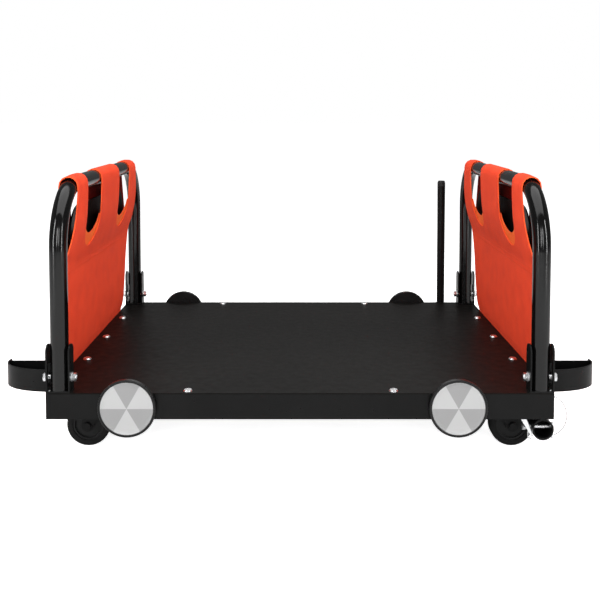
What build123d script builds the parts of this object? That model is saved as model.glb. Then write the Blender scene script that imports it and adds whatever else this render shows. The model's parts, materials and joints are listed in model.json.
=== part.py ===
from build123d import *
import math
import os

# Wheeled firewood rack: a shallow framed deck on four casters, with a tubular hoop and a cloth sling
# at each end. Millimetres. X runs along the deck, +Y to its rear, and the floor is Z = 0. The model
# is drawn about the deck's own middle; keep() moves each piece so that the origin is under the
# middle of the whole rack, whose pole stands out behind the deck.

# --- driving dimensions -------------------------------------------------------------------------
LENGTH = 900.0
DEPTH = 720.0
DECK_TOP = 120.0
SHEET = 2.0
END_SCREWS = (428.5, (-150.0, 20.0, 191.0))
EDGE_SCREWS = (-200.0, 167.0)
EDGE_INSET = 14.0
RAIL_HEIGHT = 45.0
RAIL_WALL = 2.5
TOP_FLANGE = 30.0
LOW_FLANGE = 14.0

LEG_X = 428.0
LEG_Y = 346.0
TUBE_R = 16.0
TUBE_WALL = 2.0
HOOP_TOP = 361.0
HOOP_BEND = 110.0

BRACKET_WALL = 3.0
BRACKET_DEPTH = 28.0
BRACKET_HEIGHT = 85.0
INNER_CHEEK_X = 408.5
BOLT_RISE = 25.0
BOLT_R = 4.0
SLOT_WIDTH = 12.0
SLOT_HEIGHT = 42.0

WHEEL_X = 391.0
WHEEL_Y = 285.0
WHEEL_R = 40.0
TYRE_WIDTH = 26.0
CORE_R = 29.0
PLATE_BASE = 103.0
PLATE = 3.0
PLATE_BOLTS = (60.0, 50.0)
PLATE_BOLT_R = 3.0
TRAIL = 26.0
AXLE_R = 4.0
FORK_WALL = 3.0
FORK_CROWN = 88.0
FORK_TOP = 92.0
RACE_R = 22.0
KINGPIN_R = 6.0
BEARER_WIDTH = 100.0
BEARER_WALL = 3.0

DISC_X = {"left": -305.0, "right": 279.0}
DISC_R = 51.5
CAP_R = 47.2
DISC_WIDTH = 9.5
DISC_GAP = 2.0
CAP_THICK = 2.5
SPINDLE_R = 5.0

SLING_HALF = 297.0
STRAP_OUTER = 274.0
STRAP_EDGES = (84.0, 201.0)
SLING_SEAM = 320.0
SLOT_BOTTOM = 350.0

CUP_REACH = 91.0
CUP_DEPTH = 60.0
CUP_FRONT = 335.0
CUP_BASE = 114.0
CUP_HEIGHT = 40.0
CUP_WALL = 2.2

RECEIVER_R = 19.0
RECEIVER_WALL = 3.0
RECEIVER_X = 431.0
RECEIVER_LENGTH = 46.0
RECEIVER_END = 3.0
STAY = 2.6
STAY_Y = -349.4
PIN_R = 4.0
PIN_Y = -342.0
CABLE_R = 0.7

POLE_X = 369.0
POLE_R = 10.0
POLE_TOP = 437.0
POLE_CAP = 14.0
SOCKET_WALL = 3.0
SOCKET_FLANGE = 2.5

GAP = 0.2
RUNNING = 0.05

# --- derived places -----------------------------------------------------------------------------
HALF_L = LENGTH / 2
HALF_D = DEPTH / 2
RAIL_TOP = DECK_TOP - SHEET
RAIL_BASE = RAIL_TOP - RAIL_HEIGHT
RAIL_MID = (RAIL_TOP + RAIL_BASE) / 2
BAR_Z = DECK_TOP + HOOP_TOP
BOLT_Z = DECK_TOP + BOLT_RISE
PLATE_TOP = PLATE_BASE + PLATE
KINGPIN_X = WHEEL_X - TRAIL
OUTER_CHEEK_X = HALF_L - BRACKET_WALL / 2
RECEIVER_Z = RAIL_BASE - RECEIVER_R
LEG_Z = DECK_TOP + BRACKET_WALL + GAP
SOCKET_R = POLE_R + RUNNING + SOCKET_WALL
POLE_Y = HALF_D + SOCKET_FLANGE + SOCKET_R - 1.0
FRONT_REACH = HALF_D + DISC_GAP + DISC_WIDTH
REAR_REACH = POLE_Y + SOCKET_R
SHIFT_Y = (FRONT_REACH - REAR_REACH) / 2

SIDES = {"front": -1, "rear": 1}
ENDS = {"left": -1, "right": 1}
CORNERS = [(x, y) for x in (-1, 1) for y in (-1, 1)]

os.makedirs("parts", exist_ok=True)


def keep(part, label):
    """Moves a finished piece to the rack's own frame, labels it and writes its STEP."""
    placed = Pos(0, SHIFT_Y, 0) * part
    placed.label = label
    export_step(placed, f"parts/{label}.step")


def facing_x(x, y=0.0, z=0.0):
    """A plane facing +X whose sketch axes are Y and Z."""
    return Plane(origin=(x, y, z), x_dir=(0, 1, 0), z_dir=(1, 0, 0))


def facing_front(y, x=0.0, z=0.0):
    """A plane facing -Y whose sketch axes are X and Z."""
    return Plane(origin=(x, y, z), x_dir=(1, 0, 0), z_dir=(0, -1, 0))


def rod(start, direction, radius, length):
    """A cylinder from a point along a direction, for use inside a part's block."""
    with Locations(Plane(origin=start, z_dir=direction)):
        Cylinder(radius, length, align=(Align.CENTER, Align.CENTER, Align.MIN))


# --- deck frame ---------------------------------------------------------------------------------
def side_rail(name, side):
    """Channel along one long side, with holes for the disc spindles."""
    flange_length = LENGTH - 2 * (RAIL_WALL + TOP_FLANGE + GAP)
    flanges = ((TOP_FLANGE, RAIL_TOP - RAIL_WALL / 2), (LOW_FLANGE, RAIL_BASE + RAIL_WALL / 2))
    with BuildPart() as rail:
        with Locations((0, side * (HALF_D - RAIL_WALL / 2), RAIL_MID)):
            Box(LENGTH, RAIL_WALL, RAIL_HEIGHT)
        for reach, z in flanges:
            with Locations((0, side * (HALF_D - RAIL_WALL - reach / 2), z)):
                Box(flange_length, reach, RAIL_WALL)
        for x in DISC_X.values():
            with Locations((x, side * HALF_D, RAIL_MID)):
                Cylinder(SPINDLE_R + RUNNING, 4 * RAIL_WALL, rotation=(90, 0, 0), mode=Mode.SUBTRACT)
    keep(rail.part, f"{name}_side_rail")


def end_rail(name, end):
    """Channel across one end, between the side rails' webs."""
    span = DEPTH - 2 * RAIL_WALL
    flanges = ((TOP_FLANGE, RAIL_TOP - RAIL_WALL / 2), (LOW_FLANGE, RAIL_BASE + RAIL_WALL / 2))
    with BuildPart() as rail:
        with Locations((end * (HALF_L - RAIL_WALL / 2), 0, RAIL_MID)):
            Box(RAIL_WALL, span, RAIL_HEIGHT)
        for reach, z in flanges:
            with Locations((end * (HALF_L - RAIL_WALL - reach / 2), 0, z)):
                Box(reach, span, RAIL_WALL)
    keep(rail.part, f"{name}_end_rail")


def cross_bearers():
    """Two upward-opening channels under the deck that carry the casters."""
    web_span = DEPTH - 2 * RAIL_WALL
    flange_span = web_span - 2 * (TOP_FLANGE + GAP)
    flange_height = RAIL_TOP - PLATE_TOP - BEARER_WALL
    with BuildPart() as bearers:
        for end in ENDS.values():
            with Locations((end * KINGPIN_X, 0, PLATE_TOP + BEARER_WALL / 2)):
                Box(BEARER_WIDTH, web_span, BEARER_WALL)
            for edge in (-1, 1):
                x = end * KINGPIN_X + edge * (BEARER_WIDTH - BEARER_WALL) / 2
                with Locations((x, 0, RAIL_TOP - flange_height / 2)):
                    Box(BEARER_WALL, flange_span, flange_height)
            for side in SIDES.values():
                with Locations((end * KINGPIN_X, side * WHEEL_Y, PLATE_TOP + BEARER_WALL / 2)):
                    with GridLocations(*PLATE_BOLTS, 2, 2):
                        Cylinder(PLATE_BOLT_R + GAP, 3 * BEARER_WALL, mode=Mode.SUBTRACT)
    keep(bearers.part, "cross_bearers")


def deck_sheet():
    """Thin sheet over the whole frame."""
    with BuildPart() as sheet:
        with Locations((0, 0, DECK_TOP - SHEET / 2)):
            Box(LENGTH, DEPTH, SHEET)
    keep(sheet.part, "deck_sheet")


def deck_screw_places():
    """Three screws along each end and two beside each long edge."""
    for end in ENDS.values():
        for y in END_SCREWS[1]:
            yield end * END_SCREWS[0], y
    for side in SIDES.values():
        for x in EDGE_SCREWS:
            yield x, side * (HALF_D - EDGE_INSET)


def deck_screws():
    """Low round-headed screws through the sheet into the rails' top flanges."""
    with BuildPart() as screws:
        for x, y in deck_screw_places():
            rod((x, y, DECK_TOP), (0, 0, -1), 2.0, 7.0)
            with BuildSketch(Plane.XY.offset(DECK_TOP)):
                with Locations((x, y)):
                    Circle(8.5)
            extrude(amount=2.4, taper=35)
    keep(screws.part, "deck_screws")


# --- hoops and their brackets -------------------------------------------------------------------
def leg_bracket(name, end, side):
    """Base with two round-topped cheeks astride one leg; the outer cheek is slotted."""
    cheek_r = BRACKET_DEPTH / 2
    straight = BRACKET_HEIGHT - cheek_r
    base_x = (INNER_CHEEK_X + OUTER_CHEEK_X) / 2
    base_width = OUTER_CHEEK_X - INNER_CHEEK_X + BRACKET_WALL
    with BuildPart() as bracket:
        with Locations((end * base_x, side * LEG_Y, DECK_TOP + BRACKET_WALL / 2)):
            Box(base_width, BRACKET_DEPTH, BRACKET_WALL)
        for x in (INNER_CHEEK_X, OUTER_CHEEK_X):
            with BuildSketch(facing_x(end * x - BRACKET_WALL / 2, side * LEG_Y, DECK_TOP)):
                with Locations((0, straight / 2)):
                    Rectangle(BRACKET_DEPTH, straight)
                with Locations((0, straight)):
                    Circle(cheek_r)
                if x == OUTER_CHEEK_X:
                    with Locations((0, BOLT_RISE + 5)):
                        SlotOverall(SLOT_HEIGHT, SLOT_WIDTH, rotation=90, mode=Mode.SUBTRACT)
                else:
                    with Locations((0, BOLT_RISE)):
                        Circle(BOLT_R + GAP, mode=Mode.SUBTRACT)
            extrude(amount=BRACKET_WALL)
    keep(bracket.part, f"{name}_leg_bracket")


def hoop(name, end):
    """Bent round tube: two legs and a top bar, drilled for the leg bolts."""
    x = end * LEG_X
    corners = [(x, -LEG_Y, LEG_Z), (x, -LEG_Y, BAR_Z), (x, LEG_Y, BAR_Z), (x, LEG_Y, LEG_Z)]
    with BuildPart() as tube:
        with BuildLine():
            FilletPolyline(*corners, radius=HOOP_BEND)
        with BuildSketch(Plane(origin=corners[0], z_dir=(0, 0, 1))):
            Circle(TUBE_R)
            Circle(TUBE_R - TUBE_WALL, mode=Mode.SUBTRACT)
        sweep()
        for side in SIDES.values():
            with Locations((x, side * LEG_Y, BOLT_Z)):
                Cylinder(BOLT_R + GAP, 4 * TUBE_R, rotation=(0, 90, 0), mode=Mode.SUBTRACT)
    keep(tube.part, f"{name}_hoop")


def leg_bolts():
    """One hex bolt through each leg, its head outside."""
    head_x = HALF_L + 1.6
    with BuildPart() as bolts:
        for end, side in CORNERS:
            rod((end * head_x, side * LEG_Y, BOLT_Z), (-end, 0, 0), BOLT_R, 54.0)
            with BuildSketch(facing_x(end * head_x, side * LEG_Y, BOLT_Z)):
                RegularPolygon(7.5, 6)
            extrude(amount=end * 5.3)
    keep(bolts.part, "leg_bolts")


def leg_washers():
    """A washer under each bolt head and each nut."""
    with BuildPart() as washers:
        for end, side in CORNERS:
            for x in (end * HALF_L, end * (INNER_CHEEK_X - BRACKET_WALL / 2 - 1.6)):
                with BuildSketch(facing_x(x, side * LEG_Y, BOLT_Z)):
                    Circle(9.0)
                    Circle(BOLT_R + GAP, mode=Mode.SUBTRACT)
                extrude(amount=end * 1.5)
    keep(washers.part, "leg_washers")


def leg_nuts():
    """Hex nuts on the leg bolts' inner ends."""
    nut_x = INNER_CHEEK_X - BRACKET_WALL / 2 - 1.7
    with BuildPart() as nuts:
        for end, side in CORNERS:
            with BuildSketch(facing_x(end * nut_x, side * LEG_Y, BOLT_Z)):
                RegularPolygon(7.5, 6)
                Circle(BOLT_R + RUNNING, mode=Mode.SUBTRACT)
            extrude(amount=-end * 6.5)
    keep(nuts.part, "leg_nuts")


# --- slings -------------------------------------------------------------------------------------
def sling(name, end):
    """Cloth looped over the top bar, sewn to one thickness, and led outside the end rail."""
    outer, inner = TUBE_R + 2.8, TUBE_R + 0.5
    with BuildPart() as cloth:
        with BuildSketch(facing_front(SLING_HALF)):
            with BuildLine():
                top_out = (end * (LEG_X + outer), BAR_Z)
                top_in = (end * (LEG_X - outer), BAR_Z)
                Polyline(
                    top_out, (end * 442.4, SLING_SEAM), (end * 446.0, 142.0), (end * 453.0, DECK_TOP),
                    (end * 453.0, 88.0), (end * 450.4, 88.0), (end * 450.4, DECK_TOP), (end * 443.2, 142.0),
                    (end * 438.2, SLING_SEAM - 2), (end * 424.8, 350.0), (end * 411.9, 403.0),
                    (end * (LEG_X - outer), BAR_Z - 18), top_in,
                )
                ThreePointArc(top_in, (end * LEG_X, BAR_Z + outer), top_out)
            make_face()
            with BuildLine():
                low_out = (end * (LEG_X + inner), BAR_Z)
                low_in = (end * (LEG_X - inner), BAR_Z)
                Polyline(
                    low_out, (end * (LEG_X + inner), BAR_Z - 18), (end * 440.1, SLING_SEAM + 3),
                    (end * 438.6, SLING_SEAM + 3), (end * 427.1, 351.0), (end * 414.2, 403.6),
                    (end * (LEG_X - inner), BAR_Z - 18), low_in,
                )
                ThreePointArc(low_in, (end * LEG_X, BAR_Z + inner), low_out)
            make_face(mode=Mode.SUBTRACT)
        extrude(amount=2 * SLING_HALF)
        with BuildSketch(facing_x(end * LEG_X - 60)):
            with BuildLine():
                edge = [(268, 80), (268, 122), (277, 142), (SLING_HALF, 300), (SLING_HALF, 350)]
                edge += [(STRAP_OUTER, 470), (STRAP_OUTER, 520)]
                Polyline(*edge, *[(-y, z) for y, z in reversed(edge)], close=True)
            make_face()
            slot_r = (STRAP_EDGES[1] - STRAP_EDGES[0]) / 2
            slot_y = (STRAP_EDGES[1] + STRAP_EDGES[0]) / 2
            for side in SIDES.values():
                with Locations((side * slot_y, SLOT_BOTTOM + slot_r)):
                    Circle(slot_r, mode=Mode.SUBTRACT)
                with Locations((side * slot_y, SLOT_BOTTOM + slot_r + 60)):
                    Rectangle(2 * slot_r, 120, mode=Mode.SUBTRACT)
        extrude(amount=120, mode=Mode.INTERSECT)
    keep(cloth.part, f"{name}_sling")


def sling_boards():
    """Stiff black boards standing inside the slings' loops."""
    with BuildPart() as boards:
        for end in ENDS.values():
            with BuildSketch(facing_x(end * 436.1 - 1.5, 0, 386.5)):
                Rectangle(480, 97)
                fillet(vertices().group_by(Axis.Y)[-1], 60)
                fillet(vertices().group_by(Axis.Y)[0], 8)
            extrude(amount=3)
    keep(boards.part, "sling_boards")


def sling_battens():
    """Flat bars that clamp the slings' lower ends to the end rails."""
    with BuildPart() as battens:
        for end in ENDS.values():
            with Locations((end * 454.7, 0, 99.0)):
                Box(3, 524, 18)
    keep(battens.part, "sling_battens")


def frame_screws():
    """Screws of the battens, leg brackets, cups and the lanyard."""
    with BuildPart() as screws:
        for end in ENDS.values():
            for y in (-240, -120, 0, 120, 240):
                rod((end * 458.2, y, 99.0), (-end, 0, 0), 4.0, 2.0)
                rod((end * 458.2, y, 99.0), (-end, 0, 0), 2.0, 14.0)
            for y in (-CUP_FRONT + 14, -CUP_FRONT + CUP_DEPTH - 14):
                rod((end * (HALF_L + CUP_WALL + 2.2), y, 96.0), (-end, 0, 0), 4.0, 2.0)
                rod((end * (HALF_L + CUP_WALL + 2.2), y, 96.0), (-end, 0, 0), 2.0, 9.0)
        for end, side in CORNERS:
            rod((end * 444.6, side * (LEG_Y + 9), LEG_Z + 1), (0, 0, -1), 2.0, 1.1)
            rod((end * 444.6, side * (LEG_Y + 9), LEG_Z - GAP), (0, 0, -1), 1.5, 9.0)
        rod((HALF_L + 3.0, -352.0, 112.0), (-1, 0, 0), 3.0, 3.0)
        rod((HALF_L + 3.0, -352.0, 112.0), (-1, 0, 0), 1.5, 9.0)
    keep(screws.part, "frame_screws")


# --- end cups -----------------------------------------------------------------------------------
def cup(name, end):
    """Quarter-round open-topped cup with a tab down the end rail."""
    wall_x, back_y = HALF_L + GAP, -(CUP_FRONT - CUP_DEPTH)
    with BuildPart() as shell:
        with BuildSketch(Plane.XY.offset(CUP_BASE)):
            with Locations((end * wall_x, back_y)):
                Ellipse(CUP_REACH + CUP_WALL, CUP_DEPTH)
                Rectangle(2 * CUP_REACH, 2 * CUP_DEPTH, align=(Align.CENTER, Align.MIN), mode=Mode.SUBTRACT)
                away = Align.MAX if end > 0 else Align.MIN
                Rectangle(2 * CUP_REACH, 4 * CUP_DEPTH, align=(away, Align.CENTER), mode=Mode.SUBTRACT)
        extrude(amount=CUP_HEIGHT)
        with BuildSketch(Plane.XY.offset(CUP_BASE + CUP_WALL)):
            with Locations((end * wall_x, back_y)):
                Ellipse(CUP_REACH, CUP_DEPTH - CUP_WALL)
                keep_out = (Align.CENTER, Align.MIN)
                with Locations((0, -CUP_WALL)):
                    Rectangle(2 * CUP_REACH, 2 * CUP_DEPTH, align=keep_out, mode=Mode.SUBTRACT)
                with Locations((end * CUP_WALL, 0)):
                    Rectangle(2 * CUP_REACH, 4 * CUP_DEPTH, align=(away, Align.CENTER), mode=Mode.SUBTRACT)
        extrude(amount=CUP_HEIGHT, mode=Mode.SUBTRACT)
        with Locations((end * (wall_x + CUP_WALL / 2), back_y - CUP_DEPTH / 2, CUP_BASE - 14)):
            Box(CUP_WALL, CUP_DEPTH, 30)
    keep(shell.part, f"{name}_cup")


# --- drawbar receiver, its pin and lanyard ------------------------------------------------------
def receiver_tube():
    """Stub of tube under the right end for a drawbar, open at the front and closed at its inner end."""
    inner_end = -HALF_D + RECEIVER_LENGTH
    with BuildPart() as tube:
        with BuildSketch(facing_front(inner_end, RECEIVER_X, RECEIVER_Z)):
            Circle(RECEIVER_R)
        extrude(amount=RECEIVER_LENGTH)
        with BuildSketch(facing_front(inner_end - RECEIVER_END, RECEIVER_X, RECEIVER_Z)):
            Circle(RECEIVER_R - RECEIVER_WALL)
        extrude(amount=RECEIVER_LENGTH, mode=Mode.SUBTRACT)
        with Locations((RECEIVER_X, PIN_Y, RECEIVER_Z)):
            Cylinder(PIN_R + GAP, 3 * RECEIVER_R, rotation=(0, 90, 0), mode=Mode.SUBTRACT)
    keep(tube.part, "receiver_tube")


def receiver_stay():
    """Tapered zinc bar that slants from the rail's flange down the tube's left side, before the pin."""
    top_z, low_z = RAIL_BASE, RECEIVER_Z - 14.6
    with BuildPart() as stay:
        with BuildSketch(facing_front(STAY_Y)):
            Polygon((392.0, top_z), (402.2, top_z), (416.4, low_z), (412.0, low_z), align=None)
        extrude(amount=STAY)
    keep(stay.part, "receiver_stay")


def hitch_pin():
    """Cross pin: drilled left end with a square collar, round head and a lanyard lug."""
    left, right = RECEIVER_X - RECEIVER_R - 14, RECEIVER_X + RECEIVER_R + 0.4
    with BuildPart() as pin:
        rod((left, PIN_Y, RECEIVER_Z), (1, 0, 0), PIN_R, right - left + 2)
        with BuildSketch(facing_x(left, PIN_Y, RECEIVER_Z)):
            Rectangle(9, 9, rotation=45)
        extrude(amount=6)
        rod((right, PIN_Y, RECEIVER_Z), (1, 0, 0), 7.0, 3.0)
        with Locations((right + 1.5, PIN_Y, RECEIVER_Z - 13)):
            Box(3, 6, 16)
        with Locations((RECEIVER_X - RECEIVER_R - 3, PIN_Y, RECEIVER_Z)):
            Cylinder(1.1, 20, mode=Mode.SUBTRACT)
    keep(pin.part, "hitch_pin")


def wire(points, radii, radius):
    """Sweeps a round wire along straight runs joined by arcs."""
    with BuildPart() as swept:
        with BuildLine() as path:
            FilletPolyline(*points, radius=radii)
        with BuildSketch(Plane(origin=path.line @ 0, z_dir=path.line % 0)):
            Circle(radius)
        sweep()
    return swept.part


def pin_clip():
    """Bent wire clip through the pin's drilled end."""
    x = RECEIVER_X - RECEIVER_R - 3
    points = [(x, PIN_Y, 62.0), (x, PIN_Y, 34.0), (415.0, PIN_Y, 30.0), (419.0, PIN_Y, 24.0)]
    keep(wire(points, 2.0, 0.9), "pin_clip")


LANYARD_ROUTE = [
    (453.0, -352.0, 112.0), (464.0, -352.0, 105.0), (472.5, -351.0, 92.0), (476.5, -350.0, 75.5),
    (473.5, -348.0, 58.5), (465.5, -345.0, 44.5), (453.6, -342.0, 36.5),
]


def arc_radii(points):
    """The arc at each inner point: 0.45 of its shorter run over the tangent of half the turn."""
    vectors = [Vector(*p) for p in points]
    radii = []
    for before, here, after in zip(vectors, vectors[1:], vectors[2:]):
        turn = math.radians((here - before).get_angle(after - here))
        shorter = min((here - before).length, (after - here).length)
        radii.append(0.45 * shorter / math.tan(turn / 2))
    return radii


def lanyard():
    """Thin steel cable from the end rail's screw to the pin's lug."""
    radii = arc_radii(LANYARD_ROUTE)
    cable = wire(LANYARD_ROUTE, radii, CABLE_R)
    print("lanyard radii", [round(r, 1) for r in radii])
    print("lanyard length", round(cable.volume / (math.pi * CABLE_R**2), 1))
    keep(cable, "lanyard")


# --- pole ---------------------------------------------------------------------------------------
def pole_socket():
    """Blind tube on a plate on the rear rail."""
    with BuildPart() as socket:
        with Locations((POLE_X, HALF_D + SOCKET_FLANGE / 2, RAIL_MID)):
            Box(44, SOCKET_FLANGE, RAIL_HEIGHT - 5)
        with Locations((POLE_X, POLE_Y, RAIL_MID)):
            Cylinder(SOCKET_R, RAIL_HEIGHT - 5)
        with Locations((POLE_X, POLE_Y, RAIL_MID + SOCKET_WALL)):
            Cylinder(POLE_R + RUNNING, RAIL_HEIGHT - 5, mode=Mode.SUBTRACT)
    keep(socket.part, "pole_socket")


def pole():
    """Round bar with a turned-down top, and the cap that covers it."""
    base = RAIL_MID - (RAIL_HEIGHT - 5) / 2 + SOCKET_WALL
    cap_base = POLE_TOP - POLE_CAP
    with BuildPart() as bar:
        rod((POLE_X, POLE_Y, base), (0, 0, 1), POLE_R, cap_base - base)
        rod((POLE_X, POLE_Y, cap_base), (0, 0, 1), POLE_R - 2, POLE_CAP - 3)
    keep(bar.part, "pole")
    with BuildPart() as cap:
        rod((POLE_X, POLE_Y, cap_base), (0, 0, 1), POLE_R, POLE_CAP)
        chamfer(cap.edges().group_by(Axis.Z)[-1], 5.0, 2.0)
        with Locations((POLE_X, POLE_Y, cap_base + (POLE_CAP - 3) / 2)):
            Cylinder(POLE_R - 2, POLE_CAP - 3, mode=Mode.SUBTRACT)
    keep(cap.part, "pole_cap")


# --- side discs ---------------------------------------------------------------------------------
def disc_spindles():
    """Shoulder bolts: nut inside the rail, collar outside it, flat head in the disc."""
    with BuildPart() as spindles:
        for side in SIDES.values():
            for x in DISC_X.values():
                inner = HALF_D - RAIL_WALL - 7
                head = HALF_D + DISC_GAP + DISC_WIDTH - CAP_THICK - 2.2
                rod((x, side * inner, RAIL_MID), (0, side, 0), SPINDLE_R, head - inner + 1)
                rod((x, side * inner, RAIL_MID), (0, side, 0), 8.5, 7)
                rod((x, side * HALF_D, RAIL_MID), (0, side, 0), 9.0, DISC_GAP - GAP)
                rod((x, side * head, RAIL_MID), (0, side, 0), 8.0, 2.0)
    keep(spindles.part, "disc_spindles")


def side_disc(side_name, end_name):
    """Black rim and its silver cap, free to turn on the spindle."""
    side, x = SIDES[side_name], DISC_X[end_name]
    back = HALF_D + DISC_GAP
    face = back + DISC_WIDTH
    with BuildPart() as rim:
        rod((x, side * back, RAIL_MID), (0, side, 0), DISC_R, DISC_WIDTH)
        fillet(rim.edges().filter_by(GeomType.CIRCLE), 1.5)
        for radius, depth in ((CAP_R, CAP_THICK), (8.3, CAP_THICK + 2.4), (SPINDLE_R + RUNNING, DISC_WIDTH)):
            with Locations((x, side * (face - depth / 2), RAIL_MID)):
                Cylinder(radius, depth, rotation=(90, 0, 0), mode=Mode.SUBTRACT)
    keep(rim.part, f"{side_name}_{end_name}_disc")
    with BuildPart() as cap:
        rod((x, side * (face - CAP_THICK), RAIL_MID), (0, side, 0), CAP_R, CAP_THICK)
        chamfer(cap.faces().sort_by(Axis.Y)[-1 if side > 0 else 0].edges(), 1.2)
    keep(cap.part, f"{side_name}_{end_name}_disc_cap")


# --- casters ------------------------------------------------------------------------------------
def plate_bolts():
    """Bolts and nuts that hold the four casters to the cross bearers."""
    with BuildPart() as bolts:
        for end, side in CORNERS:
            with Locations((end * KINGPIN_X, side * WHEEL_Y, PLATE_BASE - 4)):
                with GridLocations(*PLATE_BOLTS, 2, 2):
                    Cylinder(5.5, 4, align=(Align.CENTER, Align.CENTER, Align.MIN))
                    Cylinder(PLATE_BOLT_R, 17, align=(Align.CENTER, Align.CENTER, Align.MIN))
            with Locations((end * KINGPIN_X, side * WHEEL_Y, PLATE_TOP + BEARER_WALL)):
                with GridLocations(*PLATE_BOLTS, 2, 2):
                    Cylinder(5.5, 4.5, align=(Align.CENTER, Align.CENTER, Align.MIN))
    keep(bolts.part, "caster_bolts")


def plate_blank(end, side):
    """The drilled top plate, for use inside a part's block."""
    with Locations((end * KINGPIN_X, side * WHEEL_Y, PLATE_BASE + PLATE / 2)):
        Box(82, 70, PLATE)
        with GridLocations(*PLATE_BOLTS, 2, 2):
            Cylinder(PLATE_BOLT_R + GAP, 3 * PLATE, mode=Mode.SUBTRACT)


def fork_blank(end, side):
    """Crown and two legs down to the axle, for use inside a part's block."""
    half = TYRE_WIDTH / 2 + 3.0
    crown_x = end * (KINGPIN_X + 5)
    with Locations((crown_x, side * WHEEL_Y, (FORK_CROWN + FORK_TOP) / 2)):
        Box(54, 2 * (half + FORK_WALL), FORK_TOP - FORK_CROWN)
    for y in (side * WHEEL_Y + half + FORK_WALL, side * WHEEL_Y - half):
        with BuildSketch(facing_front(y)) as profile:
            leg = [(-20, FORK_TOP), (32, FORK_TOP), (37, WHEEL_R), (15, WHEEL_R)]
            Polygon(*[(end * (KINGPIN_X + u), z) for u, z in leg], align=None)
            with Locations((end * WHEEL_X, WHEEL_R)):
                Circle(11)
                Circle(AXLE_R + GAP, mode=Mode.SUBTRACT)
        extrude(profile.sketch, amount=FORK_WALL)


def axle_blank(end, side):
    """Axle bolt with its head and nut, for use inside a part's block."""
    half = TYRE_WIDTH / 2 + 3.0 + FORK_WALL
    centre = side * WHEEL_Y
    rod((end * WHEEL_X, centre - half - 5, WHEEL_R), (0, 1, 0), AXLE_R, 2 * half + 10)
    for y in (centre - half - 5, centre + half):
        rod((end * WHEEL_X, y, WHEEL_R), (0, 1, 0), 7.0, 5.0)


def swivel_caster(name, end, side):
    """Top plate with race and kingpin, and the fork and axle that swing under it."""
    centre = (end * KINGPIN_X, side * WHEEL_Y)
    with BuildPart() as plate:
        plate_blank(end, side)
        rod((*centre, PLATE_BASE), (0, 0, -1), RACE_R, PLATE_BASE - FORK_TOP - 4)
        rod((*centre, PLATE_BASE), (0, 0, -1), KINGPIN_R, PLATE_BASE - FORK_CROWN + 2)
        rod((*centre, FORK_CROWN - GAP), (0, 0, -1), 9.0, 2.4)
    keep(plate.part, f"{name}_caster_plate")
    with BuildPart() as fork:
        fork_blank(end, side)
        rod((*centre, FORK_TOP), (0, 0, 1), RACE_R - 2, 4 - GAP)
        with Locations((*centre, FORK_TOP)):
            Cylinder(KINGPIN_R + RUNNING, 20, mode=Mode.SUBTRACT)
    keep(fork.part, f"{name}_caster_fork")
    with BuildPart() as axle:
        axle_blank(end, side)
    keep(axle.part, f"{name}_caster_axle")


def rigid_caster(name, end, side):
    """Top plate and fork welded as one piece."""
    with BuildPart() as fork:
        plate_blank(end, side)
        fork_blank(end, side)
        with Locations((end * KINGPIN_X, side * WHEEL_Y, (FORK_TOP + PLATE_BASE) / 2)):
            Box(40, 30, PLATE_BASE - FORK_TOP)
    keep(fork.part, f"{name}_caster_fork")


def rigid_axles():
    """The two rigid casters' axle bolts."""
    with BuildPart() as axles:
        for side in SIDES.values():
            axle_blank(ENDS["right"], side)
    keep(axles.part, "rigid_caster_axles")


def wheel(name, end, side):
    """Recessed core with a long hub, and a round-shouldered tyre pressed on it."""
    centre = (end * WHEEL_X, side * WHEEL_Y, WHEEL_R)
    with BuildPart() as core:
        with Locations(centre):
            Cylinder(CORE_R, TYRE_WIDTH - 4, rotation=(90, 0, 0))
            for y in (-1, 1):
                with Locations((0, y * (TYRE_WIDTH / 2 - 2), 0)):
                    Cylinder(CORE_R - 4, 8, rotation=(90, 0, 0), mode=Mode.SUBTRACT)
            Cylinder(10, TYRE_WIDTH + 5, rotation=(90, 0, 0))
            Cylinder(AXLE_R + RUNNING, TYRE_WIDTH + 9, rotation=(90, 0, 0), mode=Mode.SUBTRACT)
    keep(core.part, f"{name}_wheel_core")
    with BuildPart() as tyre:
        with Locations(centre):
            Cylinder(WHEEL_R, TYRE_WIDTH, rotation=(90, 0, 0))
        fillet(tyre.edges().filter_by(GeomType.CIRCLE), 5.0)
        with Locations(centre):
            Cylinder(CORE_R, TYRE_WIDTH + 2, rotation=(90, 0, 0), mode=Mode.SUBTRACT)
    keep(tyre.part, f"{name}_tyre")


# --- build --------------------------------------------------------------------------------------
for side_name, side_sign in SIDES.items():
    side_rail(side_name, side_sign)
    for end_name, end_sign in ENDS.items():
        corner = f"{side_name}_{end_name}"
        leg_bracket(corner, end_sign, side_sign)
        side_disc(side_name, end_name)
        wheel(corner, end_sign, side_sign)
        caster = swivel_caster if end_name == "left" else rigid_caster
        caster(corner, end_sign, side_sign)

for end_name, end_sign in ENDS.items():
    end_rail(end_name, end_sign)
    hoop(end_name, end_sign)
    sling(end_name, end_sign)
    cup(end_name, end_sign)

for make in (
    cross_bearers, deck_sheet, deck_screws, leg_bolts, leg_washers, leg_nuts, sling_boards, sling_battens,
    frame_screws, receiver_tube, receiver_stay, hitch_pin, pin_clip, lanyard, pole_socket, pole,
    disc_spindles, plate_bolts, rigid_axles,
):
    make()
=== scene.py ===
import json
import math

import bmesh
import bpy
from mathutils import Matrix, Vector, geometry, noise


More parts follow.
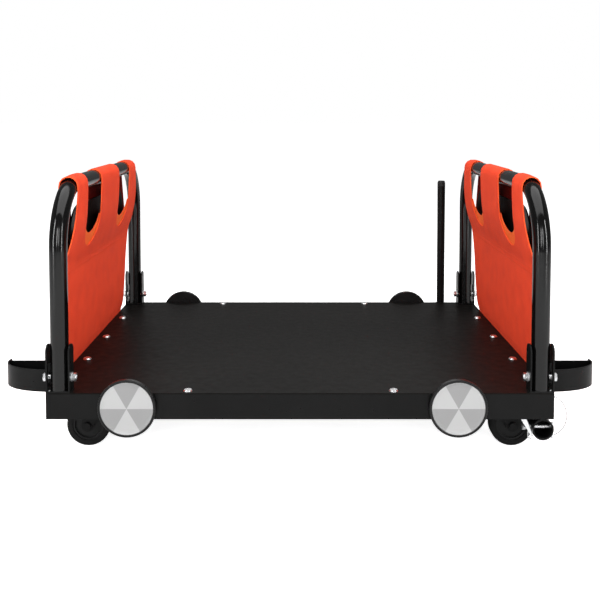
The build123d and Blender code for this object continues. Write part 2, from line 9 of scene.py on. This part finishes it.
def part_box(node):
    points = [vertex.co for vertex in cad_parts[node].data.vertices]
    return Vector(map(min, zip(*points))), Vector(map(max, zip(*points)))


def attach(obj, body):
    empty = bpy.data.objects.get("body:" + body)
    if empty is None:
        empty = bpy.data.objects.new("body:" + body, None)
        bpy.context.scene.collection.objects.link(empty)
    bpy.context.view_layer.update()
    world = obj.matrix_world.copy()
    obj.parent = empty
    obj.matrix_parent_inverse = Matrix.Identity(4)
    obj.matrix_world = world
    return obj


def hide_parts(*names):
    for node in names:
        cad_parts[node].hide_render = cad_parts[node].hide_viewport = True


# Looks of the wheeled firewood rack. Metres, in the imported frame: +X to the receiver's end, +Y to the
# pole's side, floor at Z = 0. The frame is centred on the whole object's box, so the deck's middle is
# off it by DECK_Y.

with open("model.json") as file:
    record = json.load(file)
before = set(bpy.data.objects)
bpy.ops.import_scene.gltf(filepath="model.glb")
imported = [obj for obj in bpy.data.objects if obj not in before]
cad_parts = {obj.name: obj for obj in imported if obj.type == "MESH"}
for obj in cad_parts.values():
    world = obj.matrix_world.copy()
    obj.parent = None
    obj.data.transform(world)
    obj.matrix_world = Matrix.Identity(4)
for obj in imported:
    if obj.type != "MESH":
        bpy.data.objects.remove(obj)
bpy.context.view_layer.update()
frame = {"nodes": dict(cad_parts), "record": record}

NODES = frame["nodes"]
ENDS = {"left": -1, "right": 1}
SIDES = {"front": -1, "rear": 1}
DECK_Y = -0.00805


def middle(node):
    """The centre of a CAD node's box."""
    low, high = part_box(node)
    return (low + high) / 2


# --- materials ----------------------------------------------------------------------------------
CLOTH_UV = "cut"
# How many lighter and darker sectors of painted reflection the disc caps carry.
REFLECTION_SECTORS = 6
ORANGE_DARK = (0.70, 0.048, 0.018)
ORANGE_LIGHT = (0.90, 0.080, 0.029)


def new_material(name):
    """A node material, a function that adds nodes to it, its shader and its links."""
    made = bpy.data.materials.new(name)
    made.use_nodes = True
    nodes, links = made.node_tree.nodes, made.node_tree.links

    def add(kind, inputs=(), **settings):
        node = nodes.new(kind)
        for key, value in settings.items():
            setattr(node, key, value)
        for key, value in dict(inputs).items():
            if isinstance(value, bpy.types.NodeSocket):
                links.new(value, node.inputs[key])
            else:
                node.inputs[key].default_value = value
        return node

    shader = nodes["Principled BSDF"]
    return made, add, shader, links


def noise_value(add, coords, scale, detail=2.0):
    """Smooth noise from 0 to 1."""
    return add("ShaderNodeTexNoise", {"Vector": coords, "Scale": scale, "Detail": detail}).outputs["Fac"]


def ramp(add, value, stops):
    """A colour ramp whose stops are (position, colour)."""
    node = add("ShaderNodeValToRGB", {"Fac": value})
    elements = node.color_ramp.elements
    while len(elements) < len(stops):
        elements.new(0.5)
    for element, (position, colour) in zip(elements, stops):
        element.position = position
        element.color = (*colour, 1.0)
    return node.outputs["Color"]


def grey(level, warm=0.0):
    """A grey, or a slightly warm one."""
    return (level * (1 + warm), level, level * (1 - warm))


def finish_shader(add, shader, links, colour, roughness, height, strength, distance, rounded=0.0):
    """Joins colour, roughness and bump to the shader; rounded softens hard edges."""
    links.new(colour, shader.inputs["Base Color"])
    links.new(roughness, shader.inputs["Roughness"])
    bump = add("ShaderNodeBump", {"Height": height, "Strength": strength, "Distance": distance})
    if rounded:
        edge = add("ShaderNodeBevel", {"Radius": rounded}, samples=4)
        links.new(edge.outputs["Normal"], bump.inputs["Normal"])
    links.new(bump.outputs["Normal"], shader.inputs["Normal"])


def painted(name, level, rough, gloss, peel=420.0, bump=0.08, broad=9.0, rounded=0.0008, warm=0.0):
    """Baked black paint: fine orange peel, faint broad mottling and softened edges."""
    made, add, shader, links = new_material(name)
    coords = add("ShaderNodeTexCoord").outputs["Object"]
    mottle = noise_value(add, coords, broad, 4.0)
    colour = ramp(add, mottle, [(0.35, grey(level * 0.8, warm)), (0.68, grey(level * 1.3, warm))])
    roughness = add(
        "ShaderNodeMapRange",
        {"Value": noise_value(add, coords, 60.0, 5.0), "From Min": 0.3, "From Max": 0.7,
         "To Min": rough - 0.05, "To Max": rough + 0.06},
    ).outputs["Result"]
    height = noise_value(add, coords, peel)
    finish_shader(add, shader, links, colour, roughness, height, bump, 0.0004, rounded)
    shader.inputs["Specular IOR Level"].default_value = gloss
    return made


def zinc(name, shade=1.0):
    """Zinc plate with small cloudy spangle and fine scratches; shade darkens it."""
    made, add, shader, links = new_material(name)
    coords = add("ShaderNodeTexCoord").outputs["Object"]
    cells = add("ShaderNodeTexVoronoi", {"Vector": coords, "Scale": 260.0}).outputs["Color"]
    dull, bright = [channel * shade for channel in (0.62, 0.63, 0.65)], grey(0.86 * shade)
    colour = ramp(add, cells, [(0.1, dull), (0.9, bright)])
    stretched = add("ShaderNodeMapping", {"Vector": coords, "Scale": (1.0, 1.0, 9.0)}).outputs["Vector"]
    scratches = noise_value(add, stretched, 700.0, 6.0)
    roughness = add(
        "ShaderNodeMapRange", {"Value": scratches, "To Min": 0.16, "To Max": 0.40}
    ).outputs["Result"]
    finish_shader(add, shader, links, colour, roughness, scratches, 0.15, 0.0002, 0.0003)
    shader.inputs["Metallic"].default_value = 1.0
    return made


def moulded(name, level, rough, grain):
    """Black moulded plastic or rubber with a fine grain."""
    made, add, shader, links = new_material(name)
    coords = add("ShaderNodeTexCoord").outputs["Object"]
    colour = ramp(
        add, noise_value(add, coords, 35.0, 3.0), [(0.3, grey(level * 0.75)), (0.7, grey(level * 1.35))]
    )
    roughness = add(
        "ShaderNodeMapRange",
        {"Value": noise_value(add, coords, 90.0), "To Min": rough - 0.08, "To Max": rough + 0.08},
    ).outputs["Result"]
    finish_shader(add, shader, links, colour, roughness, noise_value(add, coords, grain), 0.3, 0.0005, 0.0006)
    shader.inputs["Specular IOR Level"].default_value = 0.2
    return made


def tyre_rubber(name):
    """Dusty black rubber with fine moulding lines round the tread."""
    made, add, shader, links = new_material(name)
    coords = add("ShaderNodeTexCoord").outputs["Object"]
    dust = noise_value(add, coords, 55.0, 6.0)
    colour = ramp(add, dust, [(0.35, grey(0.003)), (0.75, grey(0.007, 0.05))])
    lines = add(
        "ShaderNodeTexWave", {"Vector": coords, "Scale": 95.0, "Distortion": 0.3}, bands_direction="Y"
    ).outputs["Fac"]
    roughness = add("ShaderNodeMapRange", {"Value": dust, "To Min": 0.55, "To Max": 0.8}).outputs["Result"]
    finish_shader(add, shader, links, colour, roughness, lines, 0.35, 0.0008, 0.0008)
    shader.inputs["Specular IOR Level"].default_value = 0.15
    return made


def cloth(name, dark, light, weave=0.0011):
    """Plain-woven cloth with threads a weave apart, along the cut's own two directions."""
    made, add, shader, links = new_material(name)
    flat = add("ShaderNodeUVMap", uv_map=CLOTH_UV).outputs["UV"]
    waves = [
        add("ShaderNodeTexWave", {"Vector": flat, "Scale": 0.32 / weave, "Distortion": 0.4,
                                  "Detail": 1.0}, bands_direction=way).outputs["Fac"]
        for way in ("X", "Y")
    ]
    threads = add("ShaderNodeMath", {0: waves[0], 1: waves[1]}, operation="MULTIPLY").outputs["Value"]
    slubs = noise_value(add, flat, 26.0, 6.0)
    shade = add("ShaderNodeMath", {0: threads, 1: 0.55, 2: slubs}, operation="MULTIPLY_ADD").outputs["Value"]
    colour = ramp(add, shade, [(0.2, dark), (1.0, light)])
    roughness = add("ShaderNodeMapRange", {"Value": slubs, "To Min": 0.68, "To Max": 0.86}).outputs["Result"]
    finish_shader(add, shader, links, colour, roughness, shade, 0.35, 0.0006)
    shader.inputs["Sheen Weight"].default_value = 0.01
    shader.inputs["Sheen Roughness"].default_value = 0.45
    shader.inputs["Specular IOR Level"].default_value = 0.04
    return made


def spun_cap(name):
    """Silver cap with spun metal's reflections painted in as six equal sectors, alternately lighter and
    darker, over fine rings.
    """
    made, add, shader, links = new_material(name)
    coords = add("ShaderNodeTexCoord").outputs["Object"]
    split = add("ShaderNodeSeparateXYZ", {"Vector": coords})
    angle = add(
        "ShaderNodeMath", {0: split.outputs["Z"], 1: split.outputs["X"]}, operation="ARCTAN2"
    ).outputs["Value"]
    triple = add("ShaderNodeMath", {0: angle, 1: REFLECTION_SECTORS / 2}, operation="MULTIPLY").outputs["Value"]
    painted_reflection_swing = add("ShaderNodeMath", {0: triple}, operation="SINE").outputs["Value"]
    side = add(
        "ShaderNodeMapRange", {"Value": painted_reflection_swing, "From Min": -0.06, "From Max": 0.06}
    ).outputs["Result"]
    fine = noise_value(add, coords, 500.0, 4.0)
    mixed = add("ShaderNodeMath", {0: fine, 1: 0.10, 2: side}, operation="MULTIPLY_ADD").outputs["Value"]
    # The lighter and darker sectors are painted reflection, not the metal's own colour.
    colour = ramp(add, mixed, [(0.0, grey(0.22)), (1.0, grey(0.36))])
    rings = add(
        "ShaderNodeTexWave", {"Vector": coords, "Scale": 380.0}, wave_type="RINGS", rings_direction="Y"
    ).outputs["Fac"]
    roughness = add("ShaderNodeMapRange", {"Value": side, "To Min": 0.50, "To Max": 0.42}).outputs["Result"]
    finish_shader(add, shader, links, colour, roughness, rings, 0.12, 0.0002)
    shader.inputs["Metallic"].default_value = 0.20
    return made


tube_black = painted("tube_black", 0.002, 0.13, 0.30, peel=300.0, bump=0.03, rounded=0.0)
frame_black = painted("frame_black", 0.0025, 0.32, 0.13)
deck_black = painted("deck_black", 0.0040, 0.40, 0.03, peel=14.0, bump=0.35, broad=3.0, warm=0.10)
caster_black = painted("caster_black", 0.003, 0.42, 0.12)
zinc_plate = zinc("zinc_plate")
cable = zinc("cable_steel", shade=0.45)
board_plastic = moulded("board_plastic", 0.003, 0.40, 300.0)
disc_plastic = moulded("disc_plastic", 0.006, 0.30, 420.0)
core_plastic = moulded("core_plastic", 0.005, 0.50, 350.0)
cap_plastic = moulded("cap_plastic", 0.012, 0.45, 380.0)
rubber = tyre_rubber("tyre_rubber")
silver = spun_cap("spun_silver_painted_reflections")
orange = cloth("sling_orange", ORANGE_DARK, ORANGE_LIGHT)
cut_edge = cloth("sling_cut_edge", (0.80, 0.070, 0.018), (0.92, 0.120, 0.035))
# Dark red copy of the orange: painted shade for the cloth's inside within the loop over the bar.
painted_shade_inside = cloth("sling_inside_painted_shade", (0.34, 0.014, 0.008), (0.46, 0.024, 0.012))
# Lighter orange: a painted highlight where the top light falls on the opening's lower lip.
facing_painted_highlight = cloth("sling_facing_painted_highlight", (0.86, 0.110, 0.020), (0.98, 0.175, 0.035))
thread = cloth("sling_thread", (0.50, 0.04, 0.015), (0.78, 0.09, 0.035), weave=0.0004)

FINISHES = {
    "frame_black": frame_black,
    "deck_black": deck_black,
    "zinc": zinc_plate,
    "disc_black": disc_plastic,
    "disc_silver": silver,
    "sling_orange": orange,
    "board_black": board_plastic,
    "tyre_rubber": rubber,
    "core_grey": core_plastic,
    "caster_black": caster_black,
    "cable_steel": cable,
    "cap_black": cap_plastic,
}
for row in frame["record"]["subparts"]:
    look = tube_black if row["node"].endswith("hoop") else FINISHES[row["material_slot"]]
    NODES[row["node"]].data.materials.clear()
    NODES[row["node"]].data.materials.append(look)


# --- shared mesh helpers ------------------------------------------------------------------------
def new_object(mesh, materials, body, place=(0.0, 0.0, 0.0)):
    """A smooth-shaded object of a mesh, riding on a body."""
    made = bpy.data.objects.new(mesh.name, mesh)
    bpy.context.scene.collection.objects.link(made)
    made.location = place
    for look in materials:
        mesh.materials.append(look)
    for face in mesh.polygons:
        face.use_smooth = True
    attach(made, body)
    return made


def apply_modifiers(made):
    """Replaces the object's mesh with its evaluated one."""
    depsgraph = bpy.context.evaluated_depsgraph_get()
    mesh = bpy.data.meshes.new_from_object(made.evaluated_get(depsgraph))
    made.modifiers.clear()
    made.data = mesh


# --- lanyard ------------------------------------------------------------------------------------
LANYARD_ROUTE = [
    (0.4530, -0.352, 0.1120), (0.4640, -0.352, 0.1050), (0.4725, -0.351, 0.0920), (0.4765, -0.350, 0.0755),
    (0.4735, -0.348, 0.0585), (0.4655, -0.345, 0.0445), (0.4536, -0.342, 0.0365),
]
CABLE_R = 0.0007


def make_lanyard():
    """Stiff thin cable that bows out from the rail's screw and back to the pin."""
    curve = bpy.data.curves.new("lanyard_cable", "CURVE")
    curve.dimensions = "3D"
    curve.bevel_depth = CABLE_R
    curve.bevel_resolution = 4
    curve.resolution_u = 16
    curve.use_fill_caps = True
    spline = curve.splines.new("NURBS")
    spline.points.add(len(LANYARD_ROUTE) - 1)
    for point, (x, y, z) in zip(spline.points, LANYARD_ROUTE):
        point.co = (x, y + DECK_Y, z, 1.0)
    spline.order_u = 3
    spline.use_endpoint_u = True
    curve.materials.append(cable)
    made = bpy.data.objects.new("lanyard_cable", curve)
    bpy.context.scene.collection.objects.link(made)
    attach(made, "root")
    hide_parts("lanyard")
    x, y, z = LANYARD_ROUTE[0]


make_lanyard()


# --- slings -------------------------------------------------------------------------------------
BAR_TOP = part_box("left_hoop")[1].z
BAR_R = 0.016
BAR_X = middle("right_hoop").x
BAR_Z = BAR_TOP - BAR_R
BEND_R = 0.110
BEND_START = 0.236
THICK = 0.0024
RIDE_R = BAR_R + 0.0017
SEAM_Z = 0.318
SLOT_BASE = 0.350
STRAP_EDGES = (0.084, 0.201)
CELL = 0.008
STRAP_FROM_Z = 0.40
STRAP_SAG = 0.25  # the straps stay nearly straight where the bar bends away below them
SLACK = 0.0012
SLACK_Z = 0.225
SLACK_REACH = 0.10
BAR_STEPS = 12
SMOOTHINGS = 3
HEM_STEPS = 60
SLOT_TURNS = 28
# Half-widths of the cut cloth against height, from the clamped hem up to the straps.
HALF_WIDTHS = [(0.080, 0.268), (0.122, 0.268), (0.142, 0.277), (0.300, 0.297), (0.350, 0.297), (0.470, 0.274)]
# How far the cloth's middle layer stands from the bar's centre, away from the deck, against height.
FRONT_LAYER = [
    (0.0237, 0.088), (0.0237, 0.120), (0.0166, 0.142), (0.0113, SEAM_Z), (-0.0020, 0.350),
    (-0.0150, 0.403), (-RIDE_R, 0.463), (-RIDE_R, BAR_Z),
]
BACK_LAYER = [(RIDE_R, BAR_Z), (RIDE_R, 0.463), (0.0137, SEAM_Z)]


def interpolate(table, at):
    """The value at a position in a sorted list of (position, value)."""
    for (low, first), (high, second) in zip(table, table[1:]):
        if at <= high:
            return first + (second - first) * max(0.0, at - low) / (high - low)
    return table[-1][1]


def sling_profile():
    """Points (x from the bar's centre, z) up the front layer, over the bar and down the back."""
    points = [Vector(p) for p in FRONT_LAYER]
    for step in range(1, BAR_STEPS):
        turn = math.pi * (1 - step / BAR_STEPS)
        points.append(Vector((RIDE_R * math.cos(turn), BAR_Z + RIDE_R * math.sin(turn))))
    points += [Vector(p) for p in BACK_LAYER]
    for _ in range(SMOOTHINGS):
        cut = [points[0]]
        for a, b in zip(points, points[1:]):
            cut += [a.lerp(b, 0.25), a.lerp(b, 0.75)]
        points = cut + [points[-1]]
    return points


PROFILE = sling_profile()
ALONG = [0.0]
for before, after in zip(PROFILE, PROFILE[1:]):
    ALONG.append(ALONG[-1] + (after - before).length)
CUT_LENGTH = ALONG[-1]


def on_profile(s):
    """The point and the outward direction at a distance along the cut."""
    for i in range(len(ALONG) - 1):
        if s <= ALONG[i + 1] or i == len(ALONG) - 2:
            a, b = PROFILE[i], PROFILE[i + 1]
            run = (b - a).normalized()
            return a.lerp(b, (s - ALONG[i]) / (ALONG[i + 1] - ALONG[i])), Vector((-run.y, run.x))


def where_z(z, back=False):
    """The distance along the cut at which the front or the back layer is at a height."""
    order = range(len(PROFILE) - 1)
    for i in reversed(order) if back else order:
        a, b = PROFILE[i].y, PROFILE[i + 1].y
        if min(a, b) <= z <= max(a, b) and a != b:
            return ALONG[i] + (ALONG[i + 1] - ALONG[i]) * (z - a) / (b - a)
    return 0.0


def half_width(s):
    """Half the cut's width at a distance along it."""
    return interpolate(HALF_WIDTHS, on_profile(s)[0].y)


def slot_outline(side):
    """The closed outline of one opening in the cut, with round ends."""
    middle_y = side * (STRAP_EDGES[0] + STRAP_EDGES[1]) / 2
    radius = (STRAP_EDGES[1] - STRAP_EDGES[0]) / 2
    low = where_z(SLOT_BASE) + radius
    high = where_z(SLOT_BASE, back=True) - radius
    points = []
    for centre, start in ((low, math.pi), (high, 0.0)):
        for step in range(SLOT_TURNS + 1):
            turn = start + math.pi * step / SLOT_TURNS
            points.append(Vector((centre + radius * math.sin(turn), middle_y + radius * math.cos(turn))))
    straight = int((high - low) / CELL)
    first, second = points[: SLOT_TURNS + 1], points[SLOT_TURNS + 1 :]
    edges = first + [first[-1].lerp(second[0], i / straight) for i in range(1, straight)]
    edges += second
    edges += [points[-1].lerp(points[0], i / straight) for i in range(1, straight)]
    return edges


def inside(point, outline):
    """True if a point is within a closed outline."""
    hit = False
    for a, b in zip(outline, outline[1:] + outline[:1]):
        if (a.y > point.y) != (b.y > point.y):
            if point.x < a.x + (b.x - a.x) * (point.y - a.y) / (b.y - a.y):
                hit = not hit
    return hit


def near(point, outline, reach):
    """True if a point is close to one of an outline's points."""
    return any((point - p).length < reach for p in outline)


def triangulate(border, holes, spacing):
    """Triangles that fill a border except its holes, with evenly spaced points inside."""
    outlines = [border, *holes]
    points, edges = [], []
    for outline in outlines:
        first = len(points)
        points += outline
        edges += [(first + i, first + (i + 1) % len(outline)) for i in range(len(outline))]
    low_s, high_s = min(p.x for p in border), max(p.x for p in border)
    low_y, high_y = min(p.y for p in border), max(p.y for p in border)
    rows, columns = int((high_s - low_s) / spacing), int((high_y - low_y) / spacing)
    for i in range(rows + 1):
        for j in range(columns + 1):
            p = Vector((low_s + (i + 0.5) * spacing, low_y + (j + 0.5) * spacing))
            if not inside(p, border) or any(inside(p, hole) for hole in holes):
                continue
            if not any(near(p, outline, 0.55 * spacing) for outline in outlines):
                points.append(p)
    found = geometry.delaunay_2d_cdt(points, edges, [], 1, 1e-6)
    verts, faces = found[0], found[2]
    kept = []
    for face in faces:
        centre = sum((verts[i] for i in face), Vector((0, 0))) / len(face)
        if not any(inside(centre, hole) for hole in holes):
            kept.append(face)
    return verts, kept


def flat_area(verts, faces):
    """The area of the cloth as it was cut, before it is hung."""
    total = 0.0
    for face in faces:
        corners = [verts[i] for i in face]
        total += sum(geometry.area_tri(corners[0], b, c) for b, c in zip(corners[1:], corners[2:]))
    return round(total, 4)


def on_bar_bend(y):
    """How far the hoop's bar has dropped at a place along it."""
    past = min(max(0.0, abs(y) - BEND_START), BEND_R)
    return BEND_R - math.sqrt(BEND_R**2 - past**2)


def hang(s, y, end, set_back=0.0):
    """Where a point of the cut lies on the rack."""
    (x, z), outward = on_profile(s)
    x -= outward.x * set_back
    z -= outward.y * set_back
    strap = max(0.0, min(1.0, (z - STRAP_FROM_Z) / (BAR_Z - STRAP_FROM_Z)))
    panel = max(0.0, 1.0 - abs(z - SLACK_Z) / SLACK_REACH) ** 0.5
    x += SLACK * panel * noise.noise(Vector((3.1 * end, 7.0 * y, 9.0 * z)))
    z -= STRAP_SAG * strap * strap * on_bar_bend(y)
    return Vector((end * (BAR_X + x), y + DECK_Y, z))


# The cloth's faces use the first three looks (outside, cut edge, and the inside, a dark red copy of the
# orange painted as shade within the loop over the bar), and below the seam the last three, which are orange
# on both sides.
CLOTH_SLOTS = [orange, cut_edge, painted_shade_inside, orange, cut_edge, orange]


def cloth_mesh(name, verts, faces, end, set_back=0.0, seam=None):
    """Hangs a flat cut on the rack; its UVs stay the flat cut's own metres."""
    mesh = bpy.data.meshes.new(name)
    mesh.from_pydata([hang(v.x, v.y, end, set_back) for v in verts], [], faces)
    uv = mesh.uv_layers.new(name=CLOTH_UV)
    for loop in mesh.loops:
        uv.data[loop.index].uv = verts[loop.vertex_index]
    if seam is not None:
        for face in mesh.polygons:
            below = all(verts[i].x < seam for i in face.vertices)
            face.material_index = len(CLOTH_SLOTS) // 2 if below else 0
    if end < 0:
        mesh.flip_normals()
    return mesh


def thicken(made, thickness):
    """Gives the cloth its thickness and slightly rounded cut edges."""
    shell = made.modifiers.new("thickness", "SOLIDIFY")
    shell.thickness = thickness
    shell.offset = 0.0
    shell.material_offset_rim = 1
    shell.material_offset = 2
    edge = made.modifiers.new("edge", "BEVEL")
    edge.width = thickness * 0.2
    edge.segments = 2
    edge.angle_limit = math.radians(50)
    edge.harden_normals = True
    apply_modifiers(made)


def sling_border():
    """The closed outer outline of the cut."""
    steps = int(CUT_LENGTH / CELL)
    places = [CUT_LENGTH * i / steps for i in range(steps + 1)]
    long_edge = [Vector((s, half_width(s))) for s in places]
    top_half, base_half = long_edge[-1].y, long_edge[0].y
    across = range(1, HEM_STEPS)
    border = long_edge + [Vector((CUT_LENGTH, top_half - 2 * top_half * i / HEM_STEPS)) for i in across]
    border += [Vector((p.x, -p.y)) for p in reversed(long_edge)]
    border += [Vector((0.0, -base_half + 2 * base_half * i / HEM_STEPS)) for i in across]
    return border


def make_sling(name, end):
    """One cloth: hem under the batten, panel, three straps over the bar and the sewn-down back."""
    holes = [slot_outline(side) for side in (-1, 1)]
    verts, faces = triangulate(sling_border(), holes, CELL)
    seam = where_z(SEAM_Z)
    mesh = cloth_mesh(f"{name}_sling_cloth", verts, faces, end, seam=seam)
    made = new_object(mesh, CLOTH_SLOTS, "root")
    thicken(made, THICK)
    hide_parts(f"{name}_sling")
    extras = [make_facing(name, end, side) for side in (-1, 1)]
    extras.append(make_stitches(name, end))
    flat_area(verts, faces)


FACING_RISE = 0.026
FACING_SET_BACK = 0.0026
FACING_THICK = 0.0018
FACING_OVERLAP = 0.006
FACING_CELL = 0.005
FACING_TURNS = 40


def make_facing(name, end, side):
    """Crescent of folded cloth sewn behind the bottom of an opening, in a lighter orange that paints the
    highlight on the opening's lower lip.
    """
    middle_y = side * (STRAP_EDGES[0] + STRAP_EDGES[1]) / 2
    radius = (STRAP_EDGES[1] - STRAP_EDGES[0]) / 2
    centre = where_z(SLOT_BASE) + radius
    wide = radius + FACING_OVERLAP
    outer, inner = [], []
    for step in range(FACING_TURNS + 1):
        turn = math.pi * step / FACING_TURNS
        outer.append(Vector((centre - wide * math.sin(turn), middle_y + wide * math.cos(turn))))
        rise = FACING_RISE * math.sin(turn) ** 0.8
        narrow = radius - 0.001 - 0.004 * math.sin(turn)
        inner.append(Vector((centre - radius * math.sin(turn) + rise, middle_y + narrow * math.cos(turn))))
    verts, faces = triangulate(outer + list(reversed(inner)), [], FACING_CELL)
    side_name = "rear" if side > 0 else "front"
    mesh = cloth_mesh(f"{name}_sling_facing_{side_name}", verts, faces, end, FACING_SET_BACK)
    made = new_object(mesh, [facing_painted_highlight, cut_edge, facing_painted_highlight], "root")
    thicken(made, FACING_THICK)
    return made


STITCH_LENGTH = 0.0042
STITCH_PITCH = 0.0062
STITCH_R = 0.0006
STITCH_ROWS = (SEAM_Z - 0.006, SEAM_Z + 0.004)
STITCH_MARGIN = 0.012


def make_stitches(name, end):
    """Two rows of lockstitch along the seam where the back layer is sewn down."""
    scale = Matrix.Diagonal((STITCH_R, STITCH_LENGTH / 2, STITCH_R, 1.0))
    built = bmesh.new()
    for row_z in STITCH_ROWS:
        s = where_z(row_z)
        (x, z), outward = on_profile(s)
        x += outward.x * THICK / 2
        half = half_width(s) - STITCH_MARGIN
        for i in range(int(2 * half / STITCH_PITCH)):
            place = Vector((end * (BAR_X + x), -half + (i + 0.5) * STITCH_PITCH + DECK_Y, z))
            bmesh.ops.create_uvsphere(
                built, u_segments=8, v_segments=6, radius=1.0, matrix=Matrix.Translation(place) @ scale
            )
    mesh = bpy.data.meshes.new(f"{name}_sling_stitches")
    built.to_mesh(mesh)
    built.free()
    mesh.uv_layers.new(name=CLOTH_UV)
    return new_object(mesh, [thread], "root")


for end_name, end_sign in ENDS.items():
    make_sling(end_name, end_sign)


# --- disc caps ----------------------------------------------------------------------------------
# The cap's section: distance from the centre as a share of its radius, and depth below the face.
CAP_SECTION = [
    (0.04, 0.0003), (0.12, 0.0003), (0.30, 0.0005), (0.55, 0.0007), (0.80, 0.0008), (0.93, 0.0008),
    (0.955, 0.0003), (0.975, 0.0001), (0.99, 0.0004), (1.0, 0.0012), (1.0, 0.0024),
]
CAP_STEPS = 120


def make_disc_cap(corner, side):
    """Pressed cap with a shallow dish and a rolled lip, round its own centre."""
    low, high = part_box(f"{corner}_disc_cap")
    centre = (low + high) / 2
    face = low.y if side < 0 else high.y
    radius = (high.x - low.x) / 2
    built = bmesh.new()

    def at(share, depth, step):
        turn = 2 * math.pi * step / CAP_STEPS
        return (share * radius * math.cos(turn), -side * depth, share * radius * math.sin(turn))

    rings = [
        [built.verts.new(at(share, depth, step)) for step in range(CAP_STEPS)]
        for share, depth in CAP_SECTION
    ]
    hub = built.verts.new((0, -side * CAP_SECTION[0][1], 0))
    back = built.verts.new((0, -side * CAP_SECTION[-1][1], 0))
    for step in range(CAP_STEPS):
        after = (step + 1) % CAP_STEPS
        built.faces.new((hub, rings[0][step], rings[0][after]))
        built.faces.new((back, rings[-1][after], rings[-1][step]))
        for inner, outer in zip(rings, rings[1:]):
            built.faces.new((inner[step], outer[step], outer[after], inner[after]))
    bmesh.ops.recalc_face_normals(built, faces=built.faces)
    mesh = bpy.data.meshes.new(f"{corner}_pressed_cap")
    built.to_mesh(mesh)
    built.free()
    place = (centre.x, face, centre.z)
    made = new_object(mesh, [silver], f"{corner}_side_disc", place)
    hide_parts(f"{corner}_disc_cap")


for side_name, side_sign in SIDES.items():
    for end_name in ENDS:
        make_disc_cap(f"{side_name}_{end_name}", side_sign)


# --- stage --------------------------------------------------------------------------------------
FLOOR_GREY = 0.85
FLOOR_GLOW = 0.88
FLOOR_REACH = 40.0
SURROUND_LIGHT = 0.16


def floor_look():
    """Matt pale grey that the camera sees glowing almost to white, so that only soft shadows show."""
    made, add, shader, links = new_material("floor")
    shader.inputs["Base Color"].default_value = (*grey(FLOOR_GREY), 1.0)
    shader.inputs["Roughness"].default_value = 0.9
    shader.inputs["Specular IOR Level"].default_value = 0.0
    shader.inputs["Emission Color"].default_value = (1.0, 1.0, 1.0, 1.0)
    seen = add("ShaderNodeLightPath").outputs["Is Camera Ray"]
    glow = add("ShaderNodeMath", {0: seen, 1: FLOOR_GLOW}, operation="MULTIPLY").outputs["Value"]
    links.new(glow, shader.inputs["Emission Strength"])
    return made


def make_floor():
    """A wide pale floor."""
    mesh = bpy.data.meshes.new("floor")
    corners = [(x * FLOOR_REACH, y * FLOOR_REACH, 0) for x, y in ((-1, -1), (1, -1), (1, 1), (-1, 1))]
    mesh.from_pydata(corners, [], [(0, 1, 2, 3)])
    mesh.materials.append(floor_look())
    made = bpy.data.objects.new("floor", mesh)
    bpy.context.scene.collection.objects.link(made)


def area_light(name, place, target, size, power):
    """A rectangular light that faces a target."""
    data = bpy.data.lights.new(name, "AREA")
    data.shape = "RECTANGLE"
    data.size, data.size_y = size
    data.energy = power
    made = bpy.data.objects.new(name, data)
    made.location = place
    made.rotation_euler = (Vector(target) - Vector(place)).to_track_quat("-Z", "Y").to_euler()
    bpy.context.scene.collection.objects.link(made)


def make_world():
    """A white surround for the camera, and a dimmer one that lights the rack."""
    world = bpy.data.worlds.new("studio")
    world.use_nodes = True
    nodes, links = world.node_tree.nodes, world.node_tree.links
    surround = nodes["Background"]
    surround.inputs["Strength"].default_value = SURROUND_LIGHT
    surround.inputs["Color"].default_value = (1.0, 1.0, 1.0, 1.0)
    seen = nodes.new("ShaderNodeBackground")
    seen.inputs["Color"].default_value = (1.0, 1.0, 1.0, 1.0)
    mix = nodes.new("ShaderNodeMixShader")
    links.new(nodes.new("ShaderNodeLightPath").outputs["Is Camera Ray"], mix.inputs["Fac"])
    links.new(surround.outputs["Background"], mix.inputs[1])
    links.new(seen.outputs["Background"], mix.inputs[2])
    links.new(mix.outputs["Shader"], nodes["World Output"].inputs["Surface"])
    bpy.context.scene.world = world


# Each light's place, target, size and power in watts.
LIGHTS = {
    "top": ((0.0, -0.4, 3.0), (0.0, 0.0, 0.0), (4.5, 3.0), 125.0),
    "front_fill": ((0.0, -3.6, 1.5), (0.0, 0.0, 0.2), (2.2, 1.6), 22.0),
    "left_strip": ((-1.9, -1.7, 0.9), (-0.2, 0.0, 0.3), (0.22, 1.8), 30.0),
    "right_strip": ((1.9, -1.7, 0.9), (0.2, 0.0, 0.3), (0.22, 1.8), 30.0),
    "left_inner": ((-0.5, -2.6, 1.0), (0.5, 0.0, 0.3), (0.16, 1.2), 12.0),
    "right_inner": ((0.5, -2.6, 1.0), (-0.5, 0.0, 0.3), (0.16, 1.2), 9.0),
    "back": ((0.0, 3.2, 2.4), (0.0, 0.0, 0.2), (3.0, 1.0), 30.0),
}

make_floor()
make_world()
for light_name, (place, target, size, power) in LIGHTS.items():
    area_light(light_name, place, target, size, power)

# --- camera -------------------------------------------------------------------------------------
CAMERA_PLACE = (0.0, -1.850, 0.618)
CAMERA_TILT = math.radians(3.0)
LENS = 51.1
SENSOR = 36.0
SHIFT = -0.2402

camera_data = bpy.data.cameras.new("camera")
camera_data.lens = LENS
camera_data.sensor_width = SENSOR
camera_data.shift_y = SHIFT
camera = bpy.data.objects.new("camera", camera_data)
camera.location = CAMERA_PLACE
camera.rotation_euler = (math.pi / 2 - CAMERA_TILT, 0.0, 0.0)
bpy.context.scene.collection.objects.link(camera)
bpy.context.scene.camera = camera
bpy.context.scene.view_settings.view_transform = "Standard"

bpy.context.view_layer.update()
